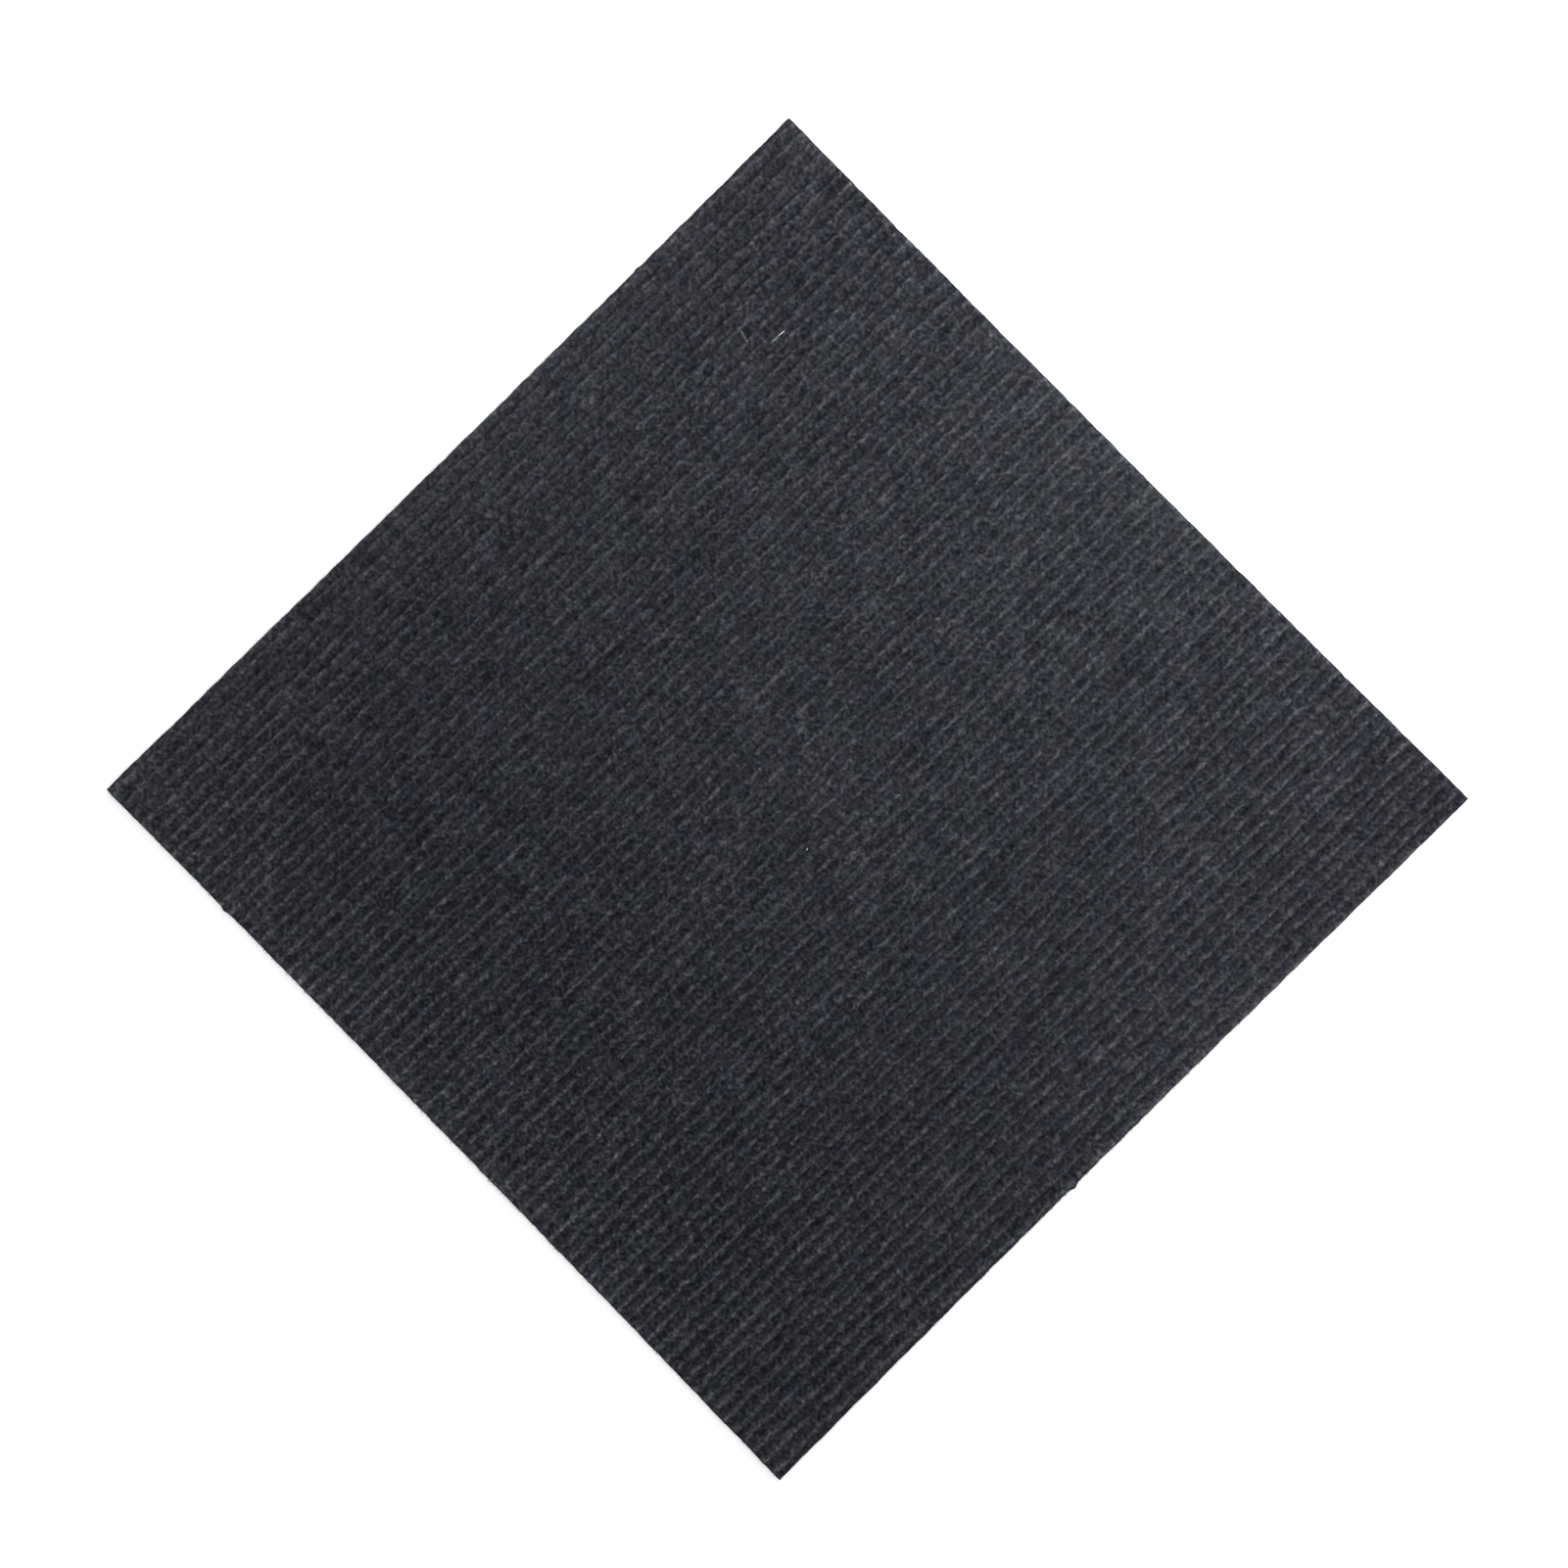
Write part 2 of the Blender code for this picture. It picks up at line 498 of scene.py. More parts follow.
# %% A helper that makes a mesh object
def mesh_piece(name, points, faces_by_size, smooth, values, map_places, materials, slots):
    """A mesh object from arrays. faces_by_size is a list of index arrays, one row per face."""
    corner_total = sum(faces.size for faces in faces_by_size)
    face_total = sum(len(faces) for faces in faces_by_size)
    sizes = np.concatenate([np.full(len(faces), faces.shape[1]) for faces in faces_by_size])
    mesh = bpy.data.meshes.new(name)
    mesh.vertices.add(len(points))
    mesh.vertices.foreach_set("co", np.asarray(points, np.float32).ravel())
    mesh.loops.add(corner_total)
    mesh.loops.foreach_set("vertex_index", np.concatenate([faces.ravel() for faces in faces_by_size]))
    mesh.polygons.add(face_total)
    mesh.polygons.foreach_set("loop_start", np.concatenate(([0], np.cumsum(sizes)[:-1])))
    mesh.polygons.foreach_set("use_smooth", smooth)
    for material in materials:
        mesh.materials.append(material)
    mesh.polygons.foreach_set("material_index", slots)
    for value_name, value in values.items():
        mesh.attributes.new(value_name, "FLOAT", "POINT").data.foreach_set("value", value)
    bake_map = mesh.uv_layers.new(name="OFBake")
    bake_map.uv.foreach_set("vector", np.asarray(map_places, np.float32).ravel())
    mesh.update(calc_edges=True)
    mesh.validate()
    piece = bpy.data.objects.new(name, mesh)
    bpy.context.scene.collection.objects.link(piece)
    return piece


def on_the_tile(piece):
    """Fastens a felt piece to the tile's only body."""
    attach(piece, "root")
    return piece


# %% Build one strip
# A little painted light on the cut sides, which lifts them against their shade
WALL_PAINTED_LIGHT = 0.10


def felt_values(points, face_paleness_and_light):
    """What the material reads at a strip's points, which are those of its face and then its walls."""
    wall_painted_light = np.full(len(points) - len(face_paleness_and_light), WALL_PAINTED_LIGHT)
    return {
        "paleness_and_painted_light": np.concatenate((face_paleness_and_light, wall_painted_light)),
        "warmth": smooth_hills(WARM_DRIFTS, points[:, 0], points[:, 1]),
        "liveliness": 1 + smooth_hills(LIVELY_DRIFTS, points[:, 0], points[:, 1]),
    }


def felt_strip(name, lower_groove, upper_groove, materials):
    """A closed strip of felt, from its face down to the floor."""
    x, y, z, crest, proud = strip_face(lower_groove, upper_groove)
    columns, rows = x.shape
    rim = rim_order(columns, rows)
    rim_x, rim_y, rim_z, rim_crest = (field.ravel()[rim] for field in (x, y, z, crest))
    face_x, face_y = x.ravel().copy(), y.ravel().copy()
    face_x[rim], face_y[rim] = pushed_out(rim_x, rim_y, np.zeros(len(rim)), rim_crest)
    wall_points, rings = strip_walls(columns * rows, rim, rim_x, rim_y, rim_z, rim_crest)
    points = np.concatenate((np.stack((face_x, face_y, z.ravel()), -1), wall_points))
    top = grid_faces(columns, rows)
    walls = wall_faces(rings)
    underside = rings[-1][None, ::-1]
    own_side = np.isclose(np.abs(rim_x), HALF_LENGTH) | np.isclose(np.abs(rim_y), HALF_WIDTH)
    outer_walls = np.tile(own_side & np.roll(own_side, -1), len(WALL_DEPTHS))
    underside_places = underside_map(points[rings[-1], 0], rim_y)[::-1]
    return mesh_piece(
        name,
        points,
        faces_by_size=[top, walls, underside],
        smooth=np.concatenate((np.ones(len(top), bool), outer_walls, [False])),
        values=felt_values(points, felt_paleness_and_light(x, y, crest, proud).ravel()),
        map_places=np.concatenate(
            (face_map(columns, rows), wall_map(len(rings), len(rim)), underside_places)
        ),
        materials=materials,
        slots=np.concatenate((np.zeros(len(top) + len(walls), int), [1])),
    )


def strip_seams():
    """The grooves in which two strips meet, between a None for each of the tile's own sides."""
    lowest = math.floor((-HALF_WIDTH - MIDDLE_CREST) / RIB_PITCH + 0.5)
    highest = math.floor((HALF_WIDTH - MIDDLE_CREST) / RIB_PITCH + 0.5)
    last = highest - RIBS_IN_A_STRIP // 2  # the last strip has at least half of the usual ribs
    return [None, *range(lowest + RIBS_IN_A_STRIP, last, RIBS_IN_A_STRIP), None]


print("seams between strips:", len(strip_seams()) - 2)

# %% [markdown]
# ## A short way to write materials
#
# A material is a chain of nodes. The helper adds one node, sets its options and fills or joins its
# inputs in one call, so the recipes below read from top to bottom: where on the felt, which pattern, how
# strong, which colour.

# %% A helper that adds a node
def add(tree, kind, inputs=None, **options):
    """Adds a node, and joins each input that is given as another node's output."""
    node = tree.nodes.new("ShaderNode" + kind)
    for option, value in options.items():
        setattr(node, option, value)
    for name, value in (inputs or {}).items():
        if isinstance(value, bpy.types.NodeSocket):
            tree.links.new(value, node.inputs[name])
        else:
            node.inputs[name].default_value = value
    return node


def sum_of(tree, *terms):
    """Adds up (socket, factor) pairs."""
    total = 0.0
    for socket, factor in terms:
        total = add(tree, "Math", {0: socket, 1: factor, 2: total}, operation="MULTIPLY_ADD").outputs[0]
    return total


def new_material(name):
    """A material, its tree of nodes and its shader."""
    material = bpy.data.materials.new(name)
    material.use_nodes = True
    return material, material.node_tree, material.node_tree.nodes["Principled BSDF"]


# %% [markdown]
# ## Heathered charcoal
#
# The felt is a blend of nearly black, grey and pale fibres, so it is never one colour. Seen close, it is
# a tangle of fine threads. Seen from further off, the threads run together into small light and dark
# clumps, and the fibres on the crests look paler because they stand in the light. The recipe keeps a
# "shade" in steps of doubling: each part adds to it, and the base colour is multiplied by two to that
# power at the end. That keeps dark places dark and never turns a colour negative.

# %% Patterns that the felt is made of
NOISE_LOW = 0.3  # most of a noise texture's values lie between these two
NOISE_HIGH = 0.7
THREAD_SCALE = 1500
THREAD_STRETCH = 14
THREAD_WARP = 0.6
THREAD_ANGLES = (-38, 7, 31, 74)  # in degrees


def rib_coordinates(tree):
    """Places on the felt, turned so that the first axis runs along the ribs."""
    place = add(tree, "TexCoord").outputs["Object"]
    return add(tree, "Mapping", {"Vector": place, "Rotation": (0, 0, RIB_SKEW)}).outputs[0]


def noise(tree, place, scale, stretch=1.0, angle=0.0, detail=1.0, warp=0.0):
    """Noise from about -1 to 1, drawn out along a direction on the felt."""
    turned = add(tree, "Mapping", {"Vector": place, "Rotation": (0, 0, math.radians(angle))})
    drawn = add(tree, "Mapping", {"Vector": turned.outputs[0], "Scale": (1 / stretch, 1, 1)})
    recipe = {"Scale": scale, "Detail": detail, "Distortion": warp}
    texture = add(tree, "TexNoise", {"Vector": drawn.outputs[0], **recipe})
    spread = {"From Min": NOISE_LOW, "From Max": NOISE_HIGH, "To Min": -1.0, "To Max": 1.0}
    return add(tree, "MapRange", {"Value": texture.outputs["Fac"], **spread}, clamp=False).outputs[0]


def fine_threads(tree, place):
    """A tangle of fine threads: the lightest of several sets that run different ways."""
    lightest = -1.0
    for angle in THREAD_ANGLES:
        threads = noise(tree, place, THREAD_SCALE, THREAD_STRETCH, angle, warp=THREAD_WARP)
        lightest = add(tree, "Math", {0: threads, 1: lightest}, operation="MAXIMUM").outputs[0]
    return lightest


# %% A helper for heathered colour
# A step of shade doubles the green. Pale fibres are less blue than dark ones, and a little redder
STEP_FACTORS = (2.02, 2.00, 1.885)
HUE_SCALE = 100
HUE_DETAIL = 1.5
RED_SPREAD = 0.066
BLUE_SPREAD = 0.058
BLUE_PLACE = (0.37, 0.11, 0.0)  # the blue drift reads its noise from another place than the red


def heathered(tree, place, base, shade, warmth=0.0):
    """The base colour doubled by each whole step of shade, with a slight drift of red and of blue."""
    elsewhere = add(tree, "Mapping", {"Vector": place, "Location": BLUE_PLACE}).outputs[0]
    red = noise(tree, place, HUE_SCALE, detail=HUE_DETAIL)
    blue = noise(tree, elsewhere, HUE_SCALE, detail=HUE_DETAIL)
    red_drift = sum_of(tree, (red, RED_SPREAD), (warmth, 1.0))
    blue_drift = sum_of(tree, (blue, BLUE_SPREAD))
    drift = add(tree, "CombineXYZ", {0: red_drift, 2: blue_drift}).outputs[0]
    tint = add(tree, "VectorMath", {0: drift, 1: base, 2: base}, operation="MULTIPLY_ADD").outputs[0]
    factors = {}
    for channel, step in enumerate(STEP_FACTORS):
        factors[channel] = add(tree, "Math", {0: step, 1: shade}, operation="POWER").outputs[0]
    factor = add(tree, "CombineXYZ", factors).outputs[0]
    return add(tree, "VectorMath", {0: tint, 1: factor}, operation="MULTIPLY").outputs[0]


# %% The felt's material
FELT_BASE = (0.01635, 0.0167, 0.02105)
PATCH_SCALE = 70
PATCH_SHADE = 0.17
MOTTLE_SCALE = 420
MOTTLE_STRETCH = 0.84  # clumps are a little wider across the ribs than along them
MOTTLE_SHADE = 1.155
PORE_SHADE = 0.09  # pores are darker than clumps are pale
STREAK_SCALE = 480
STREAK_STRETCH = 2.3
STREAK_WARP = 0.3
STREAK_SHADE = 0.23
THREAD_SHADE = 0.30
BUMP_HEIGHT = 0.00035
MOTTLE_BUMP = 0.5
THREAD_BUMP = 0.35
STREAK_BUMP = 0.15


def felt_face_material():
    """Heathered charcoal for the felt's face and its cut sides."""
    material, tree, shader = new_material("heathered_charcoal_felt")
    place = rib_coordinates(tree)
    # Painted light and shade, with the felt's own tone, kept at each point of the mesh
    paleness_and_painted_light = add(tree, "Attribute", attribute_name="paleness_and_painted_light").outputs["Fac"]
    warmth = add(tree, "Attribute", attribute_name="warmth").outputs["Fac"]
    liveliness = add(tree, "Attribute", attribute_name="liveliness").outputs["Fac"]
    patches = noise(tree, place, PATCH_SCALE, detail=2.0)
    mottle = noise(tree, place, MOTTLE_SCALE, MOTTLE_STRETCH, detail=2.0)
    clumps = add(tree, "Math", {0: mottle, 1: liveliness}, operation="MULTIPLY").outputs[0]
    pores = add(tree, "Math", {0: mottle, 1: mottle}, operation="MULTIPLY").outputs[0]
    streaks = noise(tree, place, STREAK_SCALE, STREAK_STRETCH, warp=STREAK_WARP)
    threads = fine_threads(tree, place)
    shade = sum_of(
        tree,
        (paleness_and_painted_light, 1.0),
        (patches, PATCH_SHADE),
        (clumps, MOTTLE_SHADE),
        (pores, -PORE_SHADE),
        (streaks, STREAK_SHADE),
        (threads, THREAD_SHADE),
    )
    height = sum_of(tree, (mottle, MOTTLE_BUMP), (threads, THREAD_BUMP), (streaks, STREAK_BUMP))
    bump = add(tree, "Bump", {"Height": height, "Distance": BUMP_HEIGHT, "Strength": 1.0})
    tree.links.new(heathered(tree, place, FELT_BASE, shade, warmth), shader.inputs["Base Color"])
    tree.links.new(bump.outputs[0], shader.inputs["Normal"])
    shader.inputs["Roughness"].default_value = 0.92
    shader.inputs["Specular IOR Level"].default_value = 0.05
    return material


felt_face = felt_face_material()
print(felt_face.name, "nodes:", len(felt_face.node_tree.nodes))

# %% [markdown]
# ## The underside
#
# The underside is the flat back of the same felt, closed with a binder that holds the fibres. It is
# smoother and darker than the face. Its heathering shows through the binder, softened, with blotches
# where the binder soaked in further and a mesh of flattened fibres.

# %% The underside's material
BACK_BASE = (0.0165, 0.0170, 0.0195)
BLOTCH_SCALE = 60
BLOTCH_SHADE = 0.25
BACK_MOTTLE_SHADE = 0.65
BACK_THREAD_SHADE = 0.40
BACK_BUMP_HEIGHT = 0.0002
BACK_BUMP_STRENGTH = 0.8
BACK_MOTTLE_BUMP = 0.4
BACK_THREAD_BUMP = 0.4


def felt_back_material():
    """Felt flattened and closed with a binder."""
    material, tree, shader = new_material("bound_felt_back")
    place = rib_coordinates(tree)
    blotches = noise(tree, place, BLOTCH_SCALE, detail=3.0)
    mottle = noise(tree, place, MOTTLE_SCALE, detail=2.0)
    threads = fine_threads(tree, place)
    shade = sum_of(
        tree, (blotches, BLOTCH_SHADE), (mottle, BACK_MOTTLE_SHADE), (threads, BACK_THREAD_SHADE)
    )
    height = sum_of(tree, (mottle, BACK_MOTTLE_BUMP), (threads, BACK_THREAD_BUMP))
    relief = {"Height": height, "Distance": BACK_BUMP_HEIGHT, "Strength": BACK_BUMP_STRENGTH}
    bump = add(tree, "Bump", relief)
    tree.links.new(heathered(tree, place, BACK_BASE, shade), shader.inputs["Base Color"])
    tree.links.new(bump.outputs[0], shader.inputs["Normal"])
    shader.inputs["Roughness"].default_value = 0.7
    shader.inputs["Specular IOR Level"].default_value = 0.3
    return material


felt_back = felt_back_material()
print(felt_back.name, "nodes:", len(felt_back.node_tree.nodes))

# %% Make all the strips
seams = strip_seams()
for number, (lower_seam, upper_seam) in enumerate(zip(seams[:-1], seams[1:]), start=1):
    strip = felt_strip(f"felt_strip_{number}", lower_seam, upper_seam, [felt_face, felt_back])
    on_the_tile(strip)
    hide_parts("carpet_tile")
    print(strip.name, "faces:", len(strip.data.polygons))

# %% [markdown]
# ## Loose fibres
#
# No felt is closed all over. Fibres lie on it, arch over it and sink back in. Each one is made as a thin
# three-sided rod that starts and ends inside the felt. A hair system would be quicker to set up, but it
# makes no mesh, and these fibres are part of the model. The helpers bend and close many rods at once. In
# the map each rod has its own cell of a square board: its walls in the middle, its two ends below and
# above them.

# %% Points and faces of many thin rods
ROD_SIDES = 3
ROD_TAPER = 0.75  # the share of its radius that a rod has lost at its tips
TAPER_POWER = 3  # so that most of the rod keeps its radius
UP = np.array((0.0, 0.0, 1.0))


def rod_points(paths, radii):
    """The corners of each rod's rings, for paths of shape (rods, points, 3)."""
    heading = np.gradient(paths, axis=1)
    heading /= np.linalg.norm(heading, axis=2, keepdims=True)
    sideways = np.cross(heading, UP)
    sideways /= np.maximum(np.linalg.norm(sideways, axis=2, keepdims=True), 1e-9)
    upward = np.cross(sideways, heading)
    taper = 1 - ROD_TAPER * np.abs(np.linspace(-1, 1, paths.shape[1])) ** TAPER_POWER
    reach = (radii[:, None] * taper)[:, :, None]
    corners = []
    for side in range(ROD_SIDES):
        angle = math.tau * side / ROD_SIDES + math.pi / 2
        corners.append(paths + reach * (math.cos(angle) * sideways + math.sin(angle) * upward))
    return np.stack(corners, axis=2).reshape(-1, 3)


def rod_faces(count, length):
    """The rods' four-sided walls, and the faces that close their two ends."""
    index = np.arange(count * length * ROD_SIDES).reshape(count, length, ROD_SIDES)
    here = index[:, :-1]
    onward = index[:, 1:]
    walls = np.stack((here, np.roll(here, -1, 2), np.roll(onward, -1, 2), onward), -1)
    ends = np.concatenate((index[:, 0, ::-1], index[:, -1, :]))
    return walls.reshape(-1, 4), ends


print("faces of a rod with five rings:", sum(len(faces) for faces in rod_faces(1, 5)))

# %% Map of many thin rods
CELL_MARGIN = 0.1
CELL_SHARE = 0.8  # of a cell, for the rod's walls
END_LEFT = 0.3
END_WIDTH = 0.2
END_BOTTOMS = (0.02, 0.92)  # of the first end's triangle, and of the last end's
END_HEIGHT = 0.05


def cells_in_a_row(count):
    """How many cells a row of the square board has."""
    return math.ceil(math.sqrt(count))


def rod_wall_map(count, length):
    """Map places of the walls' corners."""
    cells = cells_in_a_row(count)
    rod, ring, side = np.meshgrid(*map(np.arange, (count, length - 1, ROD_SIDES)), indexing="ij")
    places = []
    for on, around in ((0, 0), (0, 1), (1, 1), (1, 0)):
        u = (rod % cells + CELL_MARGIN + CELL_SHARE * (side + around) / ROD_SIDES) / cells
        v = (rod // cells + CELL_MARGIN + CELL_SHARE * (ring + on) / (length - 1)) / cells
        places.append(np.stack((u, v), -1))
    return np.stack(places, axis=3).reshape(-1, 2)


def rod_end_map(count):
    """Map places of the ends' corners."""
    cells = cells_in_a_row(count)
    rod = np.tile(np.arange(count), 2)
    bottom = np.repeat(END_BOTTOMS, count)
    places = []
    for corner in range(ROD_SIDES):
        u = (rod % cells + END_LEFT + END_WIDTH * (corner == 1)) / cells
        v = (rod // cells + bottom + END_HEIGHT * (corner == 2)) / cells
        places.append(np.stack((u, v), -1))
    return np.stack(places, axis=1).reshape(-1, 2)


def rods(name, paths, radii, tones, material):
    """Closed three-sided rods along paths of shape (rods, points, 3), fastened to the tile."""
    count, length, _ = paths.shape
    walls, ends = rod_faces(count, length)
    total = len(walls) + len(ends)
    piece = mesh_piece(
        name,
        rod_points(paths, radii),
        faces_by_size=[walls, ends],
        smooth=np.ones(total, bool),
        values={"tone": np.repeat(tones, length * ROD_SIDES)},
        map_places=np.concatenate((rod_wall_map(count, length), rod_end_map(count))),
        materials=[material],
        slots=np.zeros(total, int),
    )
    print(name, "rods:", count, "faces:", total)
    return on_the_tile(piece)


# %% [markdown]
# ## The fibres' colour
#
# Each fibre has its own tone, from nearly black to pale grey, because the blend mixes dyed fibres. A
# little noise along its length keeps it from looking like wire.

# %% The fibres' material
FIBRE_DARK = (0.0055, 0.0056, 0.0076, 1.0)
FIBRE_PALE = (0.0883, 0.0891, 0.0970, 1.0)
SPECKLE_SCALE = 700
SPECKLE_SHARE = 0.12
MIX_FACTOR = 0  # a Mix node's colour sockets go by number, because its other sockets share their names
MIX_DARK = 6
MIX_PALE = 7
MIX_COLOUR_OUT = 2


def fibre_material(name, dark, pale):
    """A colour between dark and pale, after each fibre's own tone."""
    material, tree, shader = new_material(name)
    place = add(tree, "TexCoord").outputs["Object"]
    tone = add(tree, "Attribute", attribute_name="tone").outputs["Fac"]
    speckle = noise(tree, place, SPECKLE_SCALE)
    level = sum_of(tree, (tone, 1.0), (speckle, SPECKLE_SHARE))
    tint = add(tree, "Mix", data_type="RGBA", clamp_factor=True)
    tree.links.new(level, tint.inputs[MIX_FACTOR])
    tint.inputs[MIX_DARK].default_value = dark
    tint.inputs[MIX_PALE].default_value = pale
    tree.links.new(tint.outputs[MIX_COLOUR_OUT], shader.inputs["Base Color"])
    shader.inputs["Roughness"].default_value = 0.8
    shader.inputs["Specular IOR Level"].default_value = 0.08
    return material


felt_fibre = fibre_material("felt_fibres", FIBRE_DARK, FIBRE_PALE)
print(felt_fibre.name, "nodes:", len(felt_fibre.node_tree.nodes))

# %% A helper for paths that follow the felt
BOW_SPREAD = 0.09  # how far fibres bow aside, as a share of their length
WAVE_SPREAD = 0.025  # how far they wave to both sides, as a share of their length
ARCH_POWER = 0.6  # below one, so that a fibre rises soon and then runs level
END_SINK = 0.00025  # how deep a fibre's ends lie in the felt


def lying_paths(random, x, y, angle, length, lift, points, bend=1.0):
    """Paths that follow the felt, sunk in at both ends and lifted between."""
    share = np.linspace(0, 1, points)
    reach = (share - 0.5) * length[:, None]
    bow = random.normal(0, BOW_SPREAD, len(x))[:, None] * length[:, None] * (4 * share * (1 - share))
    wave = random.normal(0, WAVE_SPREAD, len(x))[:, None] * length[:, None] * np.sin(math.tau * share)
    side = bend * (bow + wave)
    path_x = x[:, None] + reach * np.cos(angle)[:, None] - side * np.sin(angle)[:, None]
    path_y = y[:, None] + reach * np.sin(angle)[:, None] + side * np.cos(angle)[:, None]
    path_x = np.clip(path_x, -HALF_LENGTH, HALF_LENGTH)
    path_y = np.clip(path_y, -HALF_WIDTH, HALF_WIDTH)
    height, _, _ = felt_height(path_x, path_y)
    arch = np.sin(math.pi * share) ** ARCH_POWER
    rise = lift[:, None] * arch - END_SINK * (1 - arch)
    return np.stack((path_x, path_y, height + rise), -1)


# %% A helper for a layer of fibres
SCATTER_MARGIN = 0.003
TONE_SPREAD = 0.19


def scattered(random, count):
    """Random places all over the tile, a little inside its sides."""
    reach_x = HALF_LENGTH - SCATTER_MARGIN
    reach_y = HALF_WIDTH - SCATTER_MARGIN
    return random.uniform(-reach_x, reach_x, count), random.uniform(-reach_y, reach_y, count)


def lay_fibres(
    name, count, seed, points, angle, angle_spread, lengths, lifts, tone, radii, crest_spread=None
):
    """Lays fibres on the felt. Lengths, lifts and radii hold the least and the most of them."""
    random = np.random.default_rng(seed)
    x, y = scattered(random, count)
    if crest_spread is not None:
        y = y - rib_offset(x, y) + random.normal(0, crest_spread, count)
    angle = random.normal(angle, math.radians(angle_spread), count)
    length = random.uniform(*lengths, count)
    lift = random.uniform(*lifts, count)
    paths = lying_paths(random, x, y, angle, length, lift, points)
    # The fibres get the same painted light and shade and uneven tone as the felt under them
    tones = np.clip(random.normal(tone, TONE_SPREAD, count), 0, 1) * 2 ** smooth_hills(LIGHT_AND_TONE_DRIFTS, x, y)
    return rods(name, paths, random.uniform(*radii, count), tones, felt_fibre)


# %% Streaky fibres on the crests, and fibres that run every way
lay_fibres(
    "crest_fibres",
    count=5000,
    seed=41,
    points=5,
    angle=-RIB_SKEW,
    angle_spread=20,
    lengths=(0.003, 0.007),
    lifts=(0.00005, 0.00022),
    tone=0.40,
    radii=(0.00010, 0.00019),
    crest_spread=0.0007,
)
lay_fibres(
    "felt_fibres",
    count=7000,
    seed=42,
    points=4,
    angle=0,
    angle_spread=48,
    lengths=(0.003, 0.0075),
    lifts=(0.00005, 0.00035),
    tone=0.34,
    radii=(0.00006, 0.00012),
)

# %% [markdown]
# ## The frayed rim
#
# The knife leaves fibre ends all round the tile. They stick out of the cut by a millimetre or so, bend
# down under their own weight, and soften the outline.

# %% Fibres out of the cut sides
RIM_FIBRES = 1600
RIM_SEED = 43
RIM_POINTS = 4
RIM_SPAN = 0.995  # the share of each side, about its middle, that has fibres
RIM_HEIGHTS = (0.25, 0.96)  # of their roots, as shares of the felt's height there
RIM_SLANT = 0.6  # the spread of their slant along the side
RIM_LENGTHS = (0.0012, 0.0024)
RIM_ROOT = 0.0010  # how deep in the felt they start
RIM_DROOP = -0.25  # how far a tip rises, as a share of the fibre's length
RIM_DROOP_SPREAD = 0.3
RIM_LOWEST = 0.0003
RIM_TONE = 0.25
RIM_TONE_SPREAD = 0.18
RIM_RADII = (0.00006, 0.00011)


def rim_paths(random):
    """Paths that start inside a cut side, run out of it and bend up or, mostly, down."""
    quarter = random.integers(0, 4, RIM_FIBRES)
    place = random.uniform(-RIM_SPAN, RIM_SPAN, RIM_FIBRES)
    out_x = np.choose(quarter, (1, -1, 0, 0)).astype(float)
    out_y = np.choose(quarter, (0, 0, 1, -1)).astype(float)
    root_x = np.where(out_x != 0, out_x * HALF_LENGTH, place * HALF_LENGTH)
    root_y = np.where(out_y != 0, out_y * HALF_WIDTH, place * HALF_WIDTH)
    face_z, _, _ = felt_height(root_x, root_y)
    root_z = face_z * random.uniform(*RIM_HEIGHTS, RIM_FIBRES)
    slant = random.normal(0, RIM_SLANT, RIM_FIBRES)[:, None]
    length = random.uniform(*RIM_LENGTHS, RIM_FIBRES)[:, None]
    droop = random.normal(RIM_DROOP, RIM_DROOP_SPREAD, RIM_FIBRES)[:, None]
    share = np.linspace(0, 1, RIM_POINTS)
    reach = share * length - RIM_ROOT
    lean = slant * share * length
    x = root_x[:, None] + out_x[:, None] * reach + out_y[:, None] * lean
    y = root_y[:, None] + out_y[:, None] * reach + out_x[:, None] * lean
    z = root_z[:, None] + droop * length * share**2
    return np.stack((x, y, np.maximum(z, RIM_LOWEST)), -1)


random = np.random.default_rng(RIM_SEED)
paths = rim_paths(random)
tones = np.clip(random.normal(RIM_TONE, RIM_TONE_SPREAD, RIM_FIBRES), 0, 1)
rods("rim_fibres", paths, random.uniform(*RIM_RADII, RIM_FIBRES), tones, felt_fibre)

# %% [markdown]
# ## Three bits of pale lint
#
# Two short pale fibres and one pale speck lie on this tile. Each is a small loose bundle of rods, because
# lint is never a single thread. The longer fibre is two bundles, end to end, and one is paler.

# %% Pale lint
LINT = (
    # Its name, its middle's x and y, its angle in degrees, its length, its strands' radius and its tone
    ("lint_long", 0.1679, 0.1724, -3, 0.0056, 0.00016, 0.78),
    ("lint_long_tail", 0.1634, 0.1726, -3, 0.0062, 0.00013, 0.26),
    ("lint_short", 0.1529, 0.1845, 74, 0.0100, 0.00012, 0.16),
    ("lint_speck", -0.0117, -0.0291, 30, 0.0014, 0.00020, 0.60),
)
LINT_DARK = (0.06, 0.06, 0.065, 1.0)
LINT_PALE = (0.62, 0.62, 0.64, 1.0)
LINT_SEED = 50
LINT_STRANDS = 5
LINT_POINTS = 6
LINT_LOOSENESS = 0.00028
LINT_TURN = 0.03
LINT_LENGTHS = (0.8, 1.0)  # of the strands, as shares of the bundle's length
LINT_LIFT = 0.0004
LINT_BEND = 0.2  # strands bend less than the felt's own fibres, by this factor
LINT_TONES = (0.85, 1.15)  # of the strands, as shares of the bundle's tone


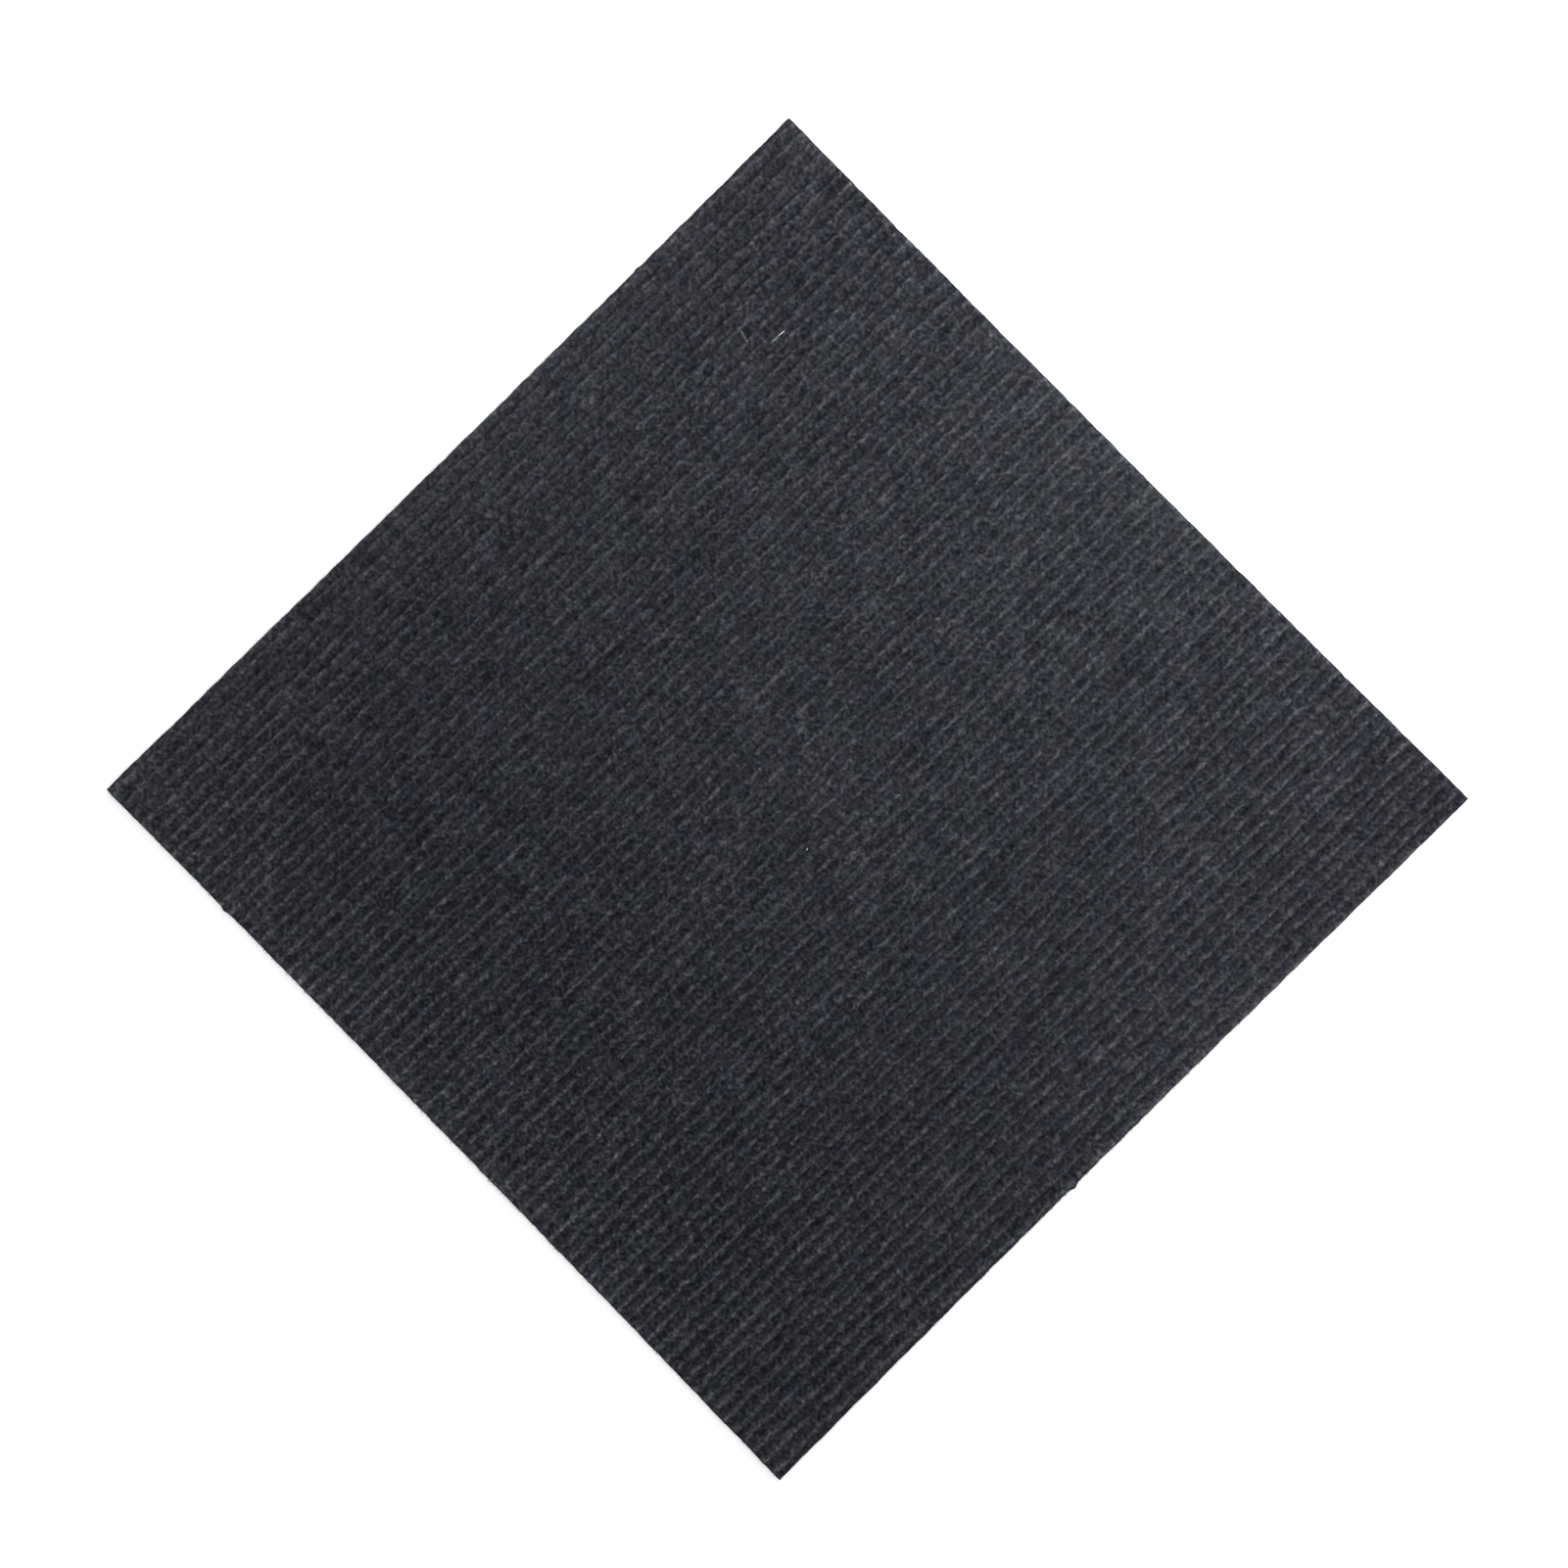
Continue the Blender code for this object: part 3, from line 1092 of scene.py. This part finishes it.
def bundle_of_lint(seed, name, x, y, angle, length, radius, tone):
    """A few nearly parallel strands that lie on the felt."""
    random = np.random.default_rng(seed)
    paths = lying_paths(
        random,
        x + random.normal(0, LINT_LOOSENESS, LINT_STRANDS),
        y + random.normal(0, LINT_LOOSENESS, LINT_STRANDS),
        math.radians(angle) + random.normal(0, LINT_TURN, LINT_STRANDS),
        length * random.uniform(*LINT_LENGTHS, LINT_STRANDS),
        np.full(LINT_STRANDS, LINT_LIFT),
        LINT_POINTS,
        bend=LINT_BEND,
    )
    tones = tone * random.uniform(*LINT_TONES, LINT_STRANDS)
    return rods(name, paths, np.full(LINT_STRANDS, radius), tones, pale_lint)


pale_lint = fibre_material("pale_lint", LINT_DARK, LINT_PALE)
for number, bundle in enumerate(LINT):
    bundle_of_lint(LINT_SEED + number, *bundle)

# %% [markdown]
# ## Floor and light
#
# The tile lies on a plain white floor. One wide soft light hangs above, and a second stands beyond the
# end that the ribs point to, so the felt grows lighter towards that end. A dim white surround fills the
# shadows.

# %% The floor
FLOOR_REACH = 6.0
FLOOR_GAP = 0.0002  # the floor lies this far below the tile, so that the two faces don't coincide


def stage_floor():
    """A large square of nearly white floor, which belongs to the picture only."""
    mesh = bpy.data.meshes.new("studio_floor")
    corners = [(FLOOR_REACH * x, FLOOR_REACH * y, 0) for x, y in ((-1, -1), (1, -1), (1, 1), (-1, 1))]
    mesh.from_pydata(corners, [], [(0, 1, 2, 3)])
    floor = bpy.data.objects.new("studio_floor", mesh)
    bpy.context.scene.collection.objects.link(floor)
    floor.location.z = -FLOOR_GAP
    material, _, shader = new_material("studio_white")
    shader.inputs["Base Color"].default_value = (0.98, 0.98, 0.98, 1.0)
    shader.inputs["Roughness"].default_value = 0.9
    shader.inputs["Specular IOR Level"].default_value = 0.0
    mesh.materials.append(material)


stage_floor()
print("floor in m:", 2 * FLOOR_REACH)

# %% The lights
def soft_light(name, place, target, width, depth, power, colour):
    """A soft rectangle of light that shines from its place at its target."""
    light = bpy.data.lights.new(name, "AREA")
    light.shape = "RECTANGLE"
    light.size = width
    light.size_y = depth
    light.energy = power
    light.color = colour
    lamp = bpy.data.objects.new(name, light)
    bpy.context.scene.collection.objects.link(lamp)
    lamp.location = place
    lamp.rotation_euler = (Vector(target) - Vector(place)).to_track_quat("-Z", "Y").to_euler()
    lamp.visible_camera = False


def surround(strength):
    """A dim white world all round."""
    world = bpy.data.worlds.new("studio_surround")
    world.use_nodes = True
    background = world.node_tree.nodes["Background"]
    background.inputs["Color"].default_value = (1.0, 1.0, 1.0, 1.0)
    background.inputs["Strength"].default_value = strength
    bpy.context.scene.world = world


soft_light(
    "overhead_softbox",
    place=(0.0, 0.0, 2.4),
    target=(0.0, 0.0, 0.0),
    width=2.4,
    depth=2.4,
    power=50.5,
    colour=(1.0, 1.0, 1.0),
)
soft_light(
    "end_softbox",
    place=(0.46, -0.02, 0.42),
    target=(0.20, 0.0, 0.0),
    width=0.40,
    depth=0.40,
    power=5.2,
    colour=(0.95, 1.0, 0.965),
)
surround(strength=0.40)
bpy.context.scene.view_settings.view_transform = "Standard"

# %% [markdown]
# ## The camera
#
# The camera looks almost straight down, and it is turned so that the tile stands on one corner in the
# picture, with the ribs running up to the right. Its place, its target and the roll of its picture put
# the tile's four corners where they are in the photograph.

# %% The camera
CAMERA_PLACE = Vector((-0.0044, -0.0271, 1.1368))
CAMERA_TARGET = Vector((0.0035, 0.0037, 0.0065))
PICTURE_ROLL = math.radians(45.40)
CAMERA_LENS = 50.0


def picture_camera():
    """The camera of the main picture."""
    data = bpy.data.cameras.new("picture_camera")
    data.lens = CAMERA_LENS
    data.sensor_width = 36.0
    data.clip_start = 0.01
    camera = bpy.data.objects.new("picture_camera", data)
    bpy.context.scene.collection.objects.link(camera)
    back = (CAMERA_PLACE - CAMERA_TARGET).normalized()
    rough_up = Vector((math.cos(PICTURE_ROLL), math.sin(PICTURE_ROLL), 0.0))
    right = rough_up.cross(back).normalized()
    up = back.cross(right)
    turn = Matrix((right, up, back)).transposed().to_4x4()
    camera.matrix_world = Matrix.Translation(CAMERA_PLACE) @ turn
    bpy.context.scene.camera = camera
    return camera


print("camera height:", round(picture_camera().location.z, 3))
